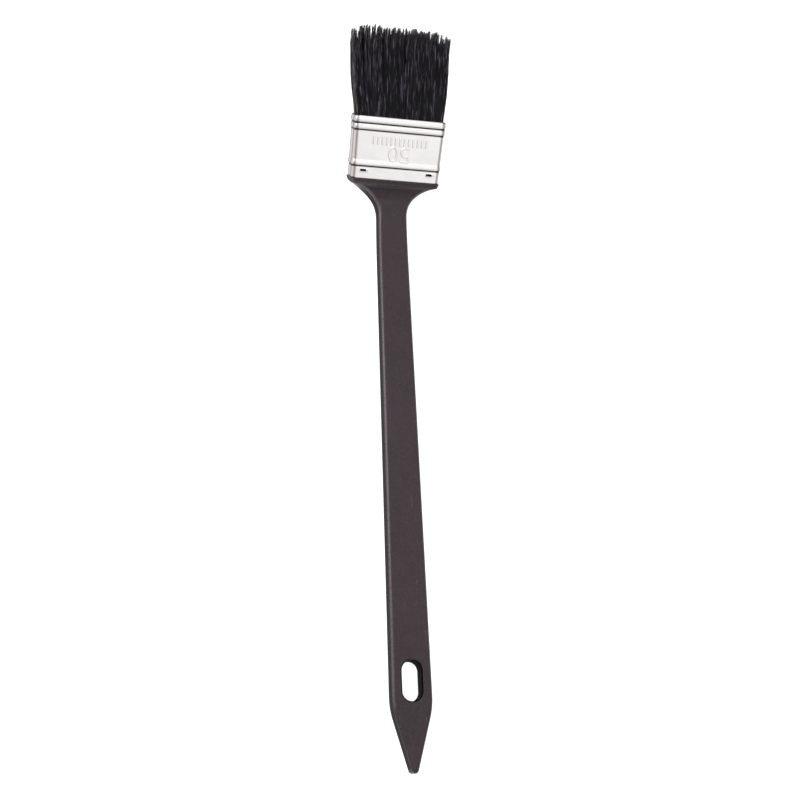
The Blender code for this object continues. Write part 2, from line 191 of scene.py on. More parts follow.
def applyModifiers(piece):
    graph = bpy.context.evaluated_depsgraph_get()
    done = bpy.data.meshes.new_from_object(piece.evaluated_get(graph))
    old = piece.data
    piece.modifiers.clear()
    piece.data = done
    bpy.data.meshes.remove(old)


# Handle: one black moulding
handle = {
    "edgeRadius": 1.8 * mm,
    "pointLength": 30.8 * mm,
    "tipRadius": 1.9 * mm,
    "cornerEase": 0.8 * mm,
    "bendBarLeg": 35.3 * mm,
    "flareLength": 23.5 * mm,
    "flarePower": 3.1,
    "rim": 2.7 * mm,
    "rimTaper": 1.0 * mm,
    "rimRound": 0.5 * mm,
    "shoulderEdge": 3.1 * mm,
    "tongueEdge": 1.8 * mm,
    "tongueIn": 0.3 * mm,
    "slot": (9.9 * mm, 19.6 * mm),
    "slotFromCorners": 12.75 * mm,
    "slotRim": 0.9 * mm,
    "partingLine": (0.16 * mm, 0.07 * mm),
    "cornerSteps": 9,
    "pointPastSolid": 0.1 * mm,
    "barPastSolid": 0.12 * mm,
    "sideMatt": 0.60,
    "rubAndHighlightTone": 0.085,
    "rubAndHighlightRightShare": 0.25,
}
# What each lance presses into: its room round the lance, and its depth below the tongue's face
pocket = {
    "margin": 0.8 * mm,
    "halfLength": 1.8 * mm,
    "shift": 0.4 * mm,
    "depth": 2.4 * mm,
    "above": 2 * mm,
}


def roundedSection(width, height, radius, steps, seam=None):
    # Points (across, up) round a rectangle, with a fine moulding ridge at the middle of both sides
    radius = min(radius, 0.98 * min(width, height) / 2)
    points = []
    for quarter, (side, rise) in enumerate(((1, 1), (-1, 1), (-1, -1), (1, -1))):
        for step in range(steps + 1):
            turn = math.pi / 2 * (quarter + step / steps)
            x = side * (width / 2 - radius) + radius * math.cos(turn)
            points.append((x, rise * (height / 2 - radius) + radius * math.sin(turn)))
        if seam and quarter in (1, 3):
            half, proud = seam
            out = 1 if quarter == 3 else -1
            for up in (-half, 0.0, half):
                reach = width / 2 + (proud if up == 0.0 else 0.0)
                points.append((out * reach, out * up))
    return points


def handleMaterial():
    plastic = Finish("blackPolypropylene", Specular_IOR_Level=0.33)
    side, edge, slotShade = (plastic.attribute(name) for name in ("side", "edge", "slotShade"))
    cloud = plastic.noise(22 * mm, 3.0)
    flow = plastic.noise(1.0 * mm, 4.0, plastic.stretched(1.6, 26.0, 1.6))
    grain = plastic.noise(0.55 * mm, 3.0, rough=0.65)
    fine = plastic.noise(0.16 * mm, 2.0)
    scuff = plastic.noise(0.5 * mm, 2.0, plastic.stretched(0.7, 14.0, 0.7)).ramp(0.66, 0.74)
    patch = plastic.noise(40 * mm, 1.0).ramp(0.5, 0.62)
    wear = scuff * patch
    mottle = plastic.noise(0.8 * mm, 3.0, rough=0.7)
    tone = plastic.blend(cloud.ramp(0.3, 0.7), pale(0.0155, (1.0, 0.50, 0.72)), pale(0.021, (1.0, 0.52, 0.73)))
    tone = plastic.blend(mottle.ramp(0.35, 0.70) * 0.6, tone, pale(0.037, (1.0, 0.66, 0.80)))
    tone = plastic.blend(wear * 0.55, tone, pale(0.11, (1.0, 0.88, 0.93)))
    # the walls are painted nearly black: painted shade
    tone = plastic.blend(side * 0.9, tone, pale(0.004, (1.0, 0.7, 0.85)))
    # the rounded edges are painted lighter: rub wear, and a painted highlight that is strongest on the left
    chalk = plastic.noise(0.9 * mm, 3.0, rough=0.6).ramp(0.30, 0.62)
    tone = plastic.blend(edge * (0.25 + 0.45 * chalk), tone, pale(handle["rubAndHighlightTone"], (1.0, 0.80, 0.95)))
    rough = 0.38 + 0.09 * cloud + 0.08 * (flow - 0.5) + 0.10 * wear + 0.14 * (grain - 0.5)
    rough = rough + handle["sideMatt"] * side
    waves = plastic.bump(plastic.noise(16 * mm, 1.0), 0.35 * mm)
    skin = plastic.bump(grain * 0.7 + fine * 0.3, 0.05 * mm, waves)
    # the slot's wall is made a black metal only as painted shade: the real one is plastic
    return plastic.feed(Base_Color=tone, Roughness=rough, Metallic=slotShade * 0.9, Normal=skin)


def tailOutline(y, pointEnd, cornersY, halfBar):
    # Half width near the tail: the lesser of the bar and the point, eased where they cross
    radius, length = handle["tipRadius"], handle["pointLength"]
    reach, half = length - radius, halfBar(cornersY)
    slope = math.atan2(half, reach) - math.asin(radius / math.hypot(half, reach))
    fromTip = y - pointEnd
    if fromTip < radius * (1 - math.sin(slope)):
        point = math.sqrt(max(radius**2 - (radius - fromTip) ** 2, 0))
    else:
        point = radius / math.cos(slope) + (fromTip - radius) * math.tan(slope)
    ease = 2 * handle["cornerEase"]
    overlap = max(ease - abs(halfBar(y) - point), 0) / ease
    return min(halfBar(y), point) - overlap**2 * ease / 4


def bendPath(headLeg):
    # (centre, tilt) through the bend: a parabola, tangent to the bar and to the head
    barLeg, found = handle["bendBarLeg"], []
    for step in range(1, 61):
        share = step / 60
        tilt = math.atan2(
            headLeg * share * math.sin(headAngle),
            headLeg * share * math.cos(headAngle) + barLeg * (1 - share),
        )
        y = bend.y + headLeg * share**2 * math.cos(headAngle) - barLeg * (1 - share) ** 2
        found.append((Vector((0, y, barThickness / 2 + headLeg * share**2 * math.sin(headAngle))), tilt))
    return found


def handleSections():
    # (centre, tilt, width, thickness, edge radius) from the tip to the end of the tongue
    bendStart = bend.y - handle["bendBarLeg"]
    pointEnd = handleLow.y - handle["pointPastSolid"]
    cornersY = pointEnd + handle["pointLength"]
    nearBend = handlePoints[abs(handlePoints[:, 1] - bendStart) < 0.05 * mm]
    atBendStart = float(nearBend[:, 0].max())

    def halfBar(y):
        share = (min(y, bend.y) - cornersY) / (bendStart - cornersY)
        return tailHalfWidth + (atBendStart - tailHalfWidth) * share

    sections = []
    tip = [handle["tipRadius"] * s for s in (0.012, 0.05, 0.12, 0.22, 0.36, 0.52, 0.7, 0.9)]
    point = list(np.arange(1.7 * mm, handle["pointLength"] + 8 * mm, 0.7 * mm))
    bar = list(np.linspace(point[-1], bendStart - pointEnd, 60)[1:])
    for fromTip in tip + point + bar:
        y = pointEnd + fromTip
        half = tailOutline(y, pointEnd, cornersY, halfBar) if fromTip <= point[-1] else halfBar(y)
        short = max(handle["edgeRadius"] - fromTip, 0)
        deep = barThickness - 2 * (handle["edgeRadius"] - math.sqrt(handle["edgeRadius"] ** 2 - short**2))
        sections.append((Vector((0, y, barThickness / 2)), 0.0, 2 * half, deep, handle["edgeRadius"]))

    shoulder = ferruleStart - handle["tongueIn"]
    wide = 2 * max(abs(handleLow.x), handleHigh.x)
    deep = 2 * shoulderHalfThick
    path = bendPath(shoulder - handle["rim"])
    toRim, following, flare = 0.0, path[-1][0], []
    for centre, tilt in reversed(path):
        toRim += (following - centre).length
        following = centre
        share = max(1 - toRim / handle["flareLength"], 0)
        swell = share ** handle["flarePower"]
        width = 2 * halfBar(centre.y)
        edge = handle["edgeRadius"] + (handle["shoulderEdge"] - handle["edgeRadius"]) * share
        drawnIn = wide - 2 * handle["rimTaper"]
        size = width + (drawnIn - width) * swell, barThickness + (deep - barThickness) * swell
        flare.append((centre, tilt, *size, edge))
    sections += reversed(flare)

    def onHead(along, width, thickness, edge):
        sections.append((headToWorld @ Vector((0, along, 0)), headAngle, width, thickness, edge))

    for step in range(7):
        turn = math.pi / 2 * step / 6
        inset = handle["rimRound"] * (1 - math.cos(turn))
        along = shoulder - handle["rimRound"] * (1 - math.sin(turn))
        onHead(along, wide - 2 * inset, deep - 2 * inset, handle["shoulderEdge"])
    tongueWidth = 2 * (ferruleHalfWidth[0] - ferrule["wall"] - handle["tongueIn"])
    tongueDeep = 2 * (ferruleHalfThick - ferrule["wall"] - handle["tongueIn"])
    tongueEnd = float(headCorners("epoxy_setting")[:, 1].min()) - handle["tongueIn"]
    for along in (shoulder, tongueEnd):
        onHead(along, tongueWidth, tongueDeep, handle["tongueEdge"])
    return sections


def loftFaces(rings, count):
    faces = []
    for ring in range(rings - 1):
        for i in range(count):
            j = (i + 1) % count
            faces.append((ring * count + i, ring * count + j, (ring + 1) * count + j, (ring + 1) * count + i))
    faces.append(tuple(reversed(range(count))))
    faces.append(tuple((rings - 1) * count + i for i in range(count)))
    return faces


def outward(piece):
    shape = bmesh.new()
    shape.from_mesh(piece.data)
    bmesh.ops.recalc_face_normals(shape, faces=shape.faces)
    shape.to_mesh(piece.data)
    shape.free()


def slotPlace():
    return handleLow.y - handle["pointPastSolid"] + handle["pointLength"] + handle["slotFromCorners"]


def handleCutter():
    # The hang slot, which opens out in a round rim, and the four pockets that the lances press into
    points, faces = [], []
    width, length = handle["slot"]
    rim = handle["slotRim"]
    centreY, past = slotPlace(), 3 * mm
    turns = [math.pi / 2 * step / 8 for step in range(9)]
    levels = [(rim * (1 - math.sin(t)), rim * (1 - math.cos(t))) for t in turns]
    heights = [(-past, rim)] + levels[::-1]
    heights += [(barThickness - z, grow) for z, grow in levels] + [(barThickness + past, rim)]
    for z, grow in heights:
        outline = roundedSection(width + 2 * grow, length + 2 * grow, width, 14)
        points += [(x, y + centreY, z) for x, y in outline]
    faces += loftFaces(len(heights), len(outline))
    for sideways, along, face in lancePlaces():
        start = len(points)
        halfWide = lance["size"][0] / 2 + pocket["margin"]
        surface = face * (ferruleHalfThick - ferrule["wall"] - handle["tongueIn"])
        for depth in (pocket["above"], -pocket["depth"]):
            for x, y in ((-1, -1), (1, -1), (1, 1), (-1, 1)):
                spotY = along + pocket["shift"] + y * pocket["halfLength"]
                points.append(headToWorld @ Vector((sideways + x * halfWide, spotY, surface + face * depth)))
        faces += [tuple(start + i for i in f) for f in loftFaces(2, 4)]
    cutter = makeMesh("handleCutter", points, faces, handleFinish)
    outward(cutter)
    return cutter


def markSides(piece):
    # "side" is 1 on the walls, which are painted darker as shade; "edge" is 1 on the rubbed roundings, painted
    # lighter as rub wear and as a painted highlight that is strongest on the left; "slotShade" is 1 in the hang
    # slot, whose walls are made black as painted shade
    mesh = piece.data
    places, normals = (np.empty(3 * len(mesh.vertices)) for _ in range(2))
    mesh.vertices.foreach_get("co", places)
    mesh.vertices.foreach_get("normal", normals)
    places, normals = places.reshape(-1, 3), normals.reshape(-1, 3)
    upright = np.maximum(abs(normals @ worldToHead[2, :3]), abs(normals[:, 2]))
    width, length = handle["slot"]
    slotMiddle, reach = slotPlace(), handle["slotRim"] + 0.05 * mm
    inSlot = (abs(places[:, 0]) < width / 2 + reach) & (abs(places[:, 1] - slotMiddle) < length / 2 + reach)
    # 1 on the walls and the slot's walls, which the finish paints darker as shade
    side = 1 - eased((upright - np.where(inSlot, 0.90, 0.15)) / np.where(inSlot, 0.09, 0.35))
    # rub wear on the roundings, with a painted highlight that is stronger on the left side
    rubAndHighlight = eased((upright - 0.30) / 0.30) * eased((0.985 - upright) / 0.10) * np.where(inSlot, 0, 1)
    rubAndHighlight *= np.where(normals[:, 0] < 0, 1.0, handle["rubAndHighlightRightShare"])
    rubAndHighlight *= eased((places[:, 1] - slotMiddle) / (6 * mm) + 2.7)
    for name, values in (("side", side), ("edge", rubAndHighlight), ("slotShade", side * inSlot)):
        mesh.attributes.new(name, "FLOAT", "POINT").data.foreach_set("value", values.astype(np.float32))


def buildHandle():
    sections = handleSections()
    points = []
    for centre, tilt, width, thickness, radius in sections:
        up = Vector((0, -math.sin(tilt), math.cos(tilt)))
        for x, z in roundedSection(width, thickness, radius, handle["cornerSteps"], handle["partingLine"]):
            points.append(centre + Vector((x, 0, 0)) + up * z)
    count = len(points) // len(sections)
    piece = makeMesh("brushHandle", points, loftFaces(len(sections), count), handleFinish)
    outward(piece)
    cutter = handleCutter()
    cut = piece.modifiers.new("slot and pockets", "BOOLEAN")
    cut.object, cut.operation = cutter, "DIFFERENCE"
    applyModifiers(piece)
    bpy.data.objects.remove(cutter)
    piece.data.shade_smooth()
    piece.data.set_sharp_from_angle(angle=math.radians(40))
    even = piece.modifiers.new("flat faces stay flat", "WEIGHTED_NORMAL")
    even.keep_sharp = True
    even.weight = 60
    applyModifiers(piece)
    markSides(piece)
    settle(piece, "handle_plastic", "handle")
    print("handle", len(piece.data.polygons), "faces")


# Ferrule: a band of tinned sheet with rolled beads, lances, a seam and embossed marks
ferrule = {
    "wall": 0.4 * mm,
    "cornerRadius": 2.6 * mm,
    "bead": 0.45 * mm,
    "crease": (0.20 * mm, 0.45 * mm),
    # each bead's handle-side foot and width, measured from the ferrule's handle-side edge
    "beads": ((6.7 * mm, 3.5 * mm), (26.4 * mm, 3.7 * mm), (30.1 * mm, 3.8 * mm)),
    "emboss": 0.20 * mm,
    "strokeHalf": 0.30 * mm,
    "strokeEase": 0.40 * mm,
    "seamHalf": 2.5 * mm,
    "seamProud": 0.62 * mm,
    "seamInset": 0.8 * mm,
    "seamGroove": 0.15 * mm,
}
lance = {
    "size": (3.3 * mm, 1.3 * mm),
    "fromEdge": 4.4 * mm,
    "fromSide": 6.4 * mm,
    "lip": 0.38 * mm,
    "burr": 1.1 * mm,
    "tabReach": 1.9 * mm,
    "tabThick": 0.22 * mm,
    "tabGap": 0.2 * mm,
    "tabSunk": 0.25 * mm,
    # degrees at the root, and how many more at the tip
    "tabTurn": (38, 34),
    "tabRun": 0.72,
    "tabSteps": 7,
}
marks = {
    "bars": 13,
    "barPitch": 2.5,
    "barHalf": 1.9,
    "barDrop": 7.0,
    "fromEdge": 14.4 * mm,
    "aside": 0.6 * mm,
    "shadow": 0.30 * mm,
}


def lancePlaces():
    for face in (1, -1):
        for side in (-1, 1):
            yield side * (ferruleHalfWidth[0] - lance["fromSide"]), ferruleStart + lance["fromEdge"], face


def steelMaterial():
    steel = Finish("tinnedSteel", Metallic=1.0)
    cloud = steel.noise(9 * mm, 3.0)
    rolled = steel.noise(0.35 * mm, 3.0, steel.stretched(30.0, 1.0, 1.0))
    speck = steel.noise(0.7 * mm, 4.0, rough=0.7).ramp(0.60, 0.72)
    paintedShade = steel.attribute("paintedShade")
    scratch = steel.noise(0.22 * mm, 1.0, steel.stretched(9.0, 1.2, 1.0, headAngle)).ramp(0.68, 0.76)
    tin = steel.blend(cloud.ramp(0.35, 0.65), pale(0.97, (1.0, 0.985, 0.97)), pale(0.94, (1.0, 0.99, 0.985)))
    tin = steel.blend(speck * 0.12, tin, pale(0.50, (1.0, 0.95, 0.88)))
    # painted shade: warm grey in the bead creases, round the lance burrs, at the marks' feet and on the narrow
    # sides, and darker along both ends
    tin = steel.blend(paintedShade.ramp(0.02, 0.45) * 0.75, tin, pale(0.42, (1.0, 0.87, 0.82)))
    # where the painted shade is deepest it turns near black with a blue cast
    tin = steel.blend(paintedShade.ramp(0.40, 0.95), tin, pale(0.045, (0.85, 0.92, 1.15)))
    rough = 0.17 + 0.09 * cloud + 0.06 * rolled + 0.10 * scratch + 0.35 * paintedShade
    dents = steel.bump(steel.noise(7 * mm, 2.0), 0.10 * mm)
    skin = steel.bump(rolled + 1.5 * scratch, 0.006 * mm, dents)
    return steel.feed(Base_Color=tin, Roughness=rough, Normal=skin)


def spaced(*stops):
    # positions through stops of (place, step up to the next place)
    found = []
    for (here, step), (there, _) in zip(stops, stops[1:]):
        count = max(1, round((there - here) / step))
        found += [here + (there - here) * i / count for i in range(count)]
    return found + [stops[-1][0]]


def markStrokes():
    # Segments (x1, y1, x2, y2, drop) in millimetres from the mark's middle: the number 50 over a row of bars
    strokes = []
    for step in range(marks["bars"]):
        place = marks["barPitch"] * (step - (marks["bars"] - 1) / 2)
        strokes.append((place, marks["barHalf"], place, -marks["barHalf"], marks["barDrop"]))
    for centre in (-3.4, 3.4):
        rise = 3.9
        if centre < 0:
            strokes += [(centre + 2.0, rise, centre - 1.7, rise, 0), (centre - 1.7, rise, centre - 1.9, 0.7, 0)]
            turns = [math.radians(130 - 26 * i) for i in range(11)]
            bowl = [(centre - 0.1 + 2.35 * math.cos(t), -1.35 + 2.5 * math.sin(t)) for t in turns]
        else:
            turns = [math.radians(24 * i) for i in range(16)]
            bowl = [(centre + 2.2 * math.cos(t), 3.95 * math.sin(t)) for t in turns]
        strokes += [(*a, *b, 0) for a, b in zip(bowl, bowl[1:])]
    return strokes


def eased(value):
    value = np.clip(value, 0, 1)
    return value * value * (3 - 2 * value)


def markHeight(x, along):
    # How far the marks stand out of the front face, and the painted shadow at their feet.
    # They read with the bristle pointing down.
    across = -(x - marks["aside"])
    up = -(along - (ferruleStart + marks["fromEdge"]))
    nearest = np.full(x.shape, 1.0)
    for x1, y1, x2, y2, drop in markStrokes():
        start, run = np.array((x1, y1 - drop)) * mm, np.array((x2 - x1, y2 - y1)) * mm
        toX, toY = across - start[0], up - start[1]
        share = np.clip((toX * run[0] + toY * run[1]) / (run @ run), 0, 1)
        nearest = np.minimum(nearest, np.hypot(toX - share * run[0], toY - share * run[1]))
    edge = ferrule["strokeHalf"] + ferrule["strokeEase"] / 2
    shadow = eased(1 - abs(nearest - edge) / marks["shadow"])
    return ferrule["emboss"] * eased((edge - nearest) / ferrule["strokeEase"]), shadow


def beadSwell(along):
    # Rolled beads, steep at the handle side, each with a sharp crease at that foot
    out = np.zeros_like(along)
    for foot, width in ferrule["beads"]:
        share = np.clip((along - ferruleStart - foot) / width, 0, 1)
        out += ferrule["bead"] * np.sin(math.pi * share**0.72) ** 0.9
        depth, half = ferrule["crease"]
        out -= depth * np.clip(1 - abs(along - ferruleStart - foot) / half, 0, 1) ** 0.8
    return out


def ferruleColumns():
    # (kind, value): a place across a flat face, or a turn round a corner
    flat = ferruleHalfWidth[0] - ferrule["cornerRadius"]
    slotMiddle, slotHalf = ferruleHalfWidth[0] - lance["fromSide"], lance["size"][0] / 2
    slotStops = ((slotMiddle - slotHalf, 0.25 * mm), (slotMiddle + slotHalf, 0.25 * mm))
    pastSlot = ((slotMiddle + slotHalf + 1.2 * mm, 0.5 * mm), (flat, 1))
    half = spaced((0, 0.17 * mm), *slotStops, *pastSlot)
    front = [-v for v in half[:0:-1]] + half
    seam = ferrule["seamHalf"]
    seamStops = ((0, 0.5 * mm), (seam - 0.6 * mm, 0.15 * mm), (seam + 0.5 * mm, 1.0 * mm))
    backHalf = spaced(*seamStops, *slotStops, *pastSlot)
    back = [-v for v in backHalf[:0:-1]] + backHalf
    turns = [math.pi / 2 * step / 10 for step in range(1, 10)]
    side = list(np.linspace(-1, 1, 7))
    columns = [("front", x) for x in reversed(front)]
    columns += [("corner", math.pi / 2 + t) for t in turns]
    columns += [("left", -v) for v in side]
    columns += [("corner", math.pi + t) for t in turns]
    columns += [("back", x) for x in back]
    columns += [("corner", 1.5 * math.pi + t) for t in turns]
    columns += [("right", v) for v in side]
    columns += [("corner", t) for t in turns]
    return columns


def ferruleRows():
    beads = ferrule["beads"]
    slotMiddle, slotHalf = lance["fromEdge"], lance["size"][1] / 2
    stops = [(0, 0.4 * mm), (slotMiddle - slotHalf - 0.5 * mm, 0.16 * mm), (slotMiddle - slotHalf, 0.16 * mm)]
    stops += [(slotMiddle + slotHalf, 0.16 * mm), (slotMiddle + slotHalf + 0.5 * mm, 0.3 * mm)]
    stops += [(beads[0][0] - 0.4 * mm, 0.085 * mm), (beads[0][0] + 0.7 * mm, 0.25 * mm)]
    stops += [(beads[0][0] + beads[0][1], 0.17 * mm), (beads[1][0] - 0.4 * mm, 0.085 * mm)]
    stops += [(beads[1][0] + 0.7 * mm, 0.25 * mm), (beads[2][0] - 0.4 * mm, 0.085 * mm)]
    stops += [(beads[2][0] + 0.7 * mm, 0.25 * mm), (ferruleLength, 1)]
    return [ferruleStart + v for v in spaced(*stops)]


def bandPoint(column, along):
    # A column's place at each distance along the head, and the direction that leads out of the metal
    kind, value = column
    radius = ferrule["cornerRadius"]
    share = (along - ferruleStart) / ferruleLength
    halfWide = ferruleHalfWidth[0] + (ferruleHalfWidth[1] - ferruleHalfWidth[0]) * share
    flatX, flatZ = halfWide - radius, ferruleHalfThick - radius
    if kind in ("front", "back"):
        face = 1 if kind == "front" else -1
        x = value * flatX / (ferruleHalfWidth[0] - radius)
        return x, np.full_like(along, face * ferruleHalfThick), 0.0, face
    if kind in ("left", "right"):
        side = 1 if kind == "right" else -1
        return side * halfWide, np.full_like(along, value * flatZ), side, 0.0
    across, up = math.cos(value), math.sin(value)
    cornerX = flatX * (1 if across > 1e-9 else -1)
    cornerZ = flatZ * (1 if up > 1e-9 else -1)
    return cornerX + radius * across, cornerZ + radius * up, across, up


def lanceShape(x, along, kind):
    # The raised burr round each lance slot on one face
    face = 1 if kind == "front" else -1
    lip = np.zeros_like(along)
    for sideways, middleAlong, which in lancePlaces():
        if which != face:
            continue
        halfWide, halfLong = lance["size"][0] / 2, lance["size"][1] / 2
        past = np.hypot(
            np.maximum(abs(x - sideways) - halfWide, 0),
            np.maximum(abs(along - middleAlong) - halfLong, 0),
        )
        knob = np.hypot(x - sideways - halfWide - 0.7 * lance["burr"], along - middleAlong)
        lip = np.maximum(lip, 0.3 * lance["lip"] * eased(1 - past / (0.6 * mm)))
        lip = np.maximum(lip, lance["lip"] * eased(1.5 - 1.3 * knob / lance["burr"]))
    return lip


def seamHeight(x, along):
    # The folded seam: a flat strip, with a fine groove down its open side
    fade = eased((along - ferruleStart - ferrule["seamInset"]) / (0.5 * mm))
    fade = fade * eased((ferruleEnd - ferrule["seamInset"] - along) / (0.5 * mm))
    strip = eased((ferrule["seamHalf"] - abs(x)) / (0.35 * mm) + 0.5)
    groove = eased(1 - abs(x - ferrule["seamHalf"]) / (0.3 * mm))
    return fade * (ferrule["seamProud"] * strip - ferrule["seamGroove"] * groove)


def paintedSideShade(column):
    # The narrow sides are painted darker as shade, with a painted dark reflection line on each rounded corner
    kind, value = column
    if kind in ("left", "right"):
        return 0.60 + 0.35 * abs(value) ** 4
    if kind == "corner":
        turned = abs(math.cos(value))
        return 0.60 * turned**0.5 + 0.35 * math.exp(-(((turned - 0.42) / 0.14) ** 2))
    return 0.0


def buildFerrule():
    columns, rows = ferruleColumns(), np.array(ferruleRows())
    swell = beadSwell(rows)
    outer, paintedShade = [], []
    for column in columns:
        x, z, outX, outZ = bandPoint(column, rows)
        x = np.broadcast_to(x, rows.shape).astype(float)
        height, markShadow = swell.copy(), 0.0
        if column[0] == "front":
            raised, markShadow = markHeight(x, rows)
            height = height + raised + lanceShape(x, rows, "front")
        if column[0] == "back":
            height = np.maximum(height, 0.2 * height + seamHeight(x, rows)) + lanceShape(x, rows, "back")
        outer.append(np.stack([x + outX * height, rows, z + outZ * height], 1))
        # painted shade in each bead's crease, round the burrs, at the marks' feet and on the sides; darker
        # along both ends
        crease = sum(eased(1.4 - abs(rows - ferruleStart - foot) / (0.55 * mm)) for foot, _ in ferrule["beads"])
        ends = eased(1 - (rows - ferruleStart) / (0.5 * mm)) * 0.5
        ends = ends + eased(1 - (ferruleEnd - rows) / (0.6 * mm)) * 0.5
        burr = lanceShape(x, rows, column[0]) / lance["lip"]
        sideShade = paintedSideShade(column)
        paintedShade.append(np.clip(0.9 * crease + ends + 0.25 * burr + 0.30 * markShadow + sideShade, 0, 1))
    outer, paintedShade = np.array(outer), np.array(paintedShade)
    slotLow, slotHigh = (lance["fromEdge"] + side * lance["size"][1] / 2 + ferruleStart for side in (-1, 1))
    lowRow, highRow = int(abs(rows - slotLow).argmin()), int(abs(rows - slotHigh).argmin())
    innerPick = sorted({0, lowRow, highRow, len(rows) - 1, *range(highRow, len(rows), 6)})
    inner = []
    for column in columns:
        x, z, outX, outZ = bandPoint(column, rows)
        depth = swell - ferrule["wall"]
        inner.append(np.stack([x + outX * depth, rows, z + outZ * depth], 1)[innerPick])
    inner = np.array(inner)
    countC, countR, countI = len(columns), len(rows), len(innerPick)
    points = np.concatenate([outer.reshape(-1, 3), inner.reshape(-1, 3)])
    shadeValues = np.concatenate([paintedShade.reshape(-1), np.full(countC * countI, 0.5)])
    innerStart = countC * countR

    def isHole(c, low, high):
        kind, value = columns[c]
        nextKind, nextValue = columns[(c + 1) % countC]
        if kind not in ("front", "back") or nextKind != kind:
            return False
        fromSlot = abs(abs((value + nextValue) / 2) - (ferruleHalfWidth[0] - lance["fromSide"]))
        return fromSlot < lance["size"][0] / 2 and low >= slotLow - 1e-6 and high <= slotHigh + 1e-6

    faces = []
    for c in range(countC):
        d = (c + 1) % countC
        for r in range(countR - 1):
            if not isHole(c, rows[r], rows[r + 1]):
                faces.append((c * countR + r, d * countR + r, d * countR + r + 1, c * countR + r + 1))
        a, b = innerStart + c * countI, innerStart + d * countI
        for r in range(countI - 1):
            if not isHole(c, rows[innerPick[r]], rows[innerPick[r + 1]]):
                faces.append((a + r, a + r + 1, b + r + 1, b + r))
            else:
                faces.append((c * countR + lowRow, d * countR + lowRow, b + r, a + r))
                faces.append((d * countR + highRow, c * countR + highRow, a + r + 1, b + r + 1))
                for edge, other in ((c, c - 1), (d, d)):
                    if not isHole(other % countC, slotLow, slotHigh):
                        side = [edge * countR + k for k in range(lowRow, highRow + 1)]
                        far = [innerStart + edge * countI + r + 1, innerStart + edge * countI + r]
                        faces.append(tuple(side + far))
        faces.append((d * countR, c * countR, a, b))
        faces.append((c * countR + countR - 1, d * countR + countR - 1, b + countI - 1, a + countI - 1))
    world = [headToWorld @ Vector(p) for p in points]
    piece = makeMesh("ferruleBand", world, faces, steelFinish)
    outward(piece)
    piece.data.set_sharp_from_angle(angle=math.radians(50))
    shadeLayer = piece.data.attributes.new("paintedShade", "FLOAT", "POINT")
    shadeLayer.data.foreach_set("value", shadeValues.astype(np.float32))
    settle(piece, "ferrule_steel", "ferrule")
    print("ferrule", len(piece.data.polygons), "faces")


def buildLanceTabs():
    # The tongues of metal pushed in through the slots, each a bent strip
    points, faces = [], []
    for sideways, along, face in lancePlaces():
        start = len(points)
        half = lance["size"][0] / 2 - lance["tabGap"]
        steps, (firstTurn, moreTurn) = lance["tabSteps"], lance["tabTurn"]
        for step in range(steps):
            turn = math.radians(firstTurn + moreTurn * step / (steps - 1))
            reach = lance["tabReach"] * step / (steps - 1)
            for thick in (0, -lance["tabThick"]):
                y = along - lance["size"][1] / 2 + reach * math.cos(turn) * lance["tabRun"]
                z = ferruleHalfThick - lance["tabSunk"] - reach * math.sin(turn) + thick
                for x in (sideways - half, sideways + half):
                    points.append(headToWorld @ Vector((x, y, face * z)))
        for step in range(steps - 1):
            a, b = start + 4 * step, start + 4 * step + 4
            faces += [(a, a + 1, b + 1, b), (a + 2, b + 2, b + 3, a + 3)]
            faces += [(a, b, b + 2, a + 2), (a + 1, a + 3, b + 3, b + 1)]
        faces += [(start, start + 2, start + 3, start + 1)]
        last = start + 4 * (steps - 1)
        faces += [(last, last + 1, last + 3, last + 2)]
    piece = makeMesh("lanceTabs", points, faces, steelFinish)
    outward(piece)
    piece.data.set_sharp_from_angle(angle=math.radians(40))
    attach(piece, "root")


# Bristle: every hair is a tapered strand of its own, rooted in the setting
bristle = {
    "across": 132,
    "deep": 21,
    "rootRadius": 0.145 * mm,
    "tipRadius": 0.065 * mm,
    "rings": 8,
    "sides": 3,
    "clumpPitch": 1.2 * mm,
    "clumpPull": 0.84,
    "clumpPoint": 2.8 * mm,
    "clumpRagged": 1.2 * mm,
    "ragged": 1.1 * mm,
    "shoulderShare": 0.84,
    "shoulderDrop": (3.0 * mm, 3.0 * mm),
    "tuftShare": 0.945,
    "tuftOut": (0.2 * mm, 1.3 * mm),
    "tuftGap": (5.0 * mm, 9.0 * mm),
    "past": 2.7 * mm,
    "wave": (0.45 * mm, 0.13 * mm),
    "clumpDrift": 0.9 * mm,
    "strays": 0.012,
    "strayReach": 2.2 * mm,
    "wobble": 0.12 * mm,
    "spread": 0.12,
    "endsLevel": 6 * mm,
    "bundlePitch": 0.31 * mm,
    "paintedHairHighlight": 0.24,
}


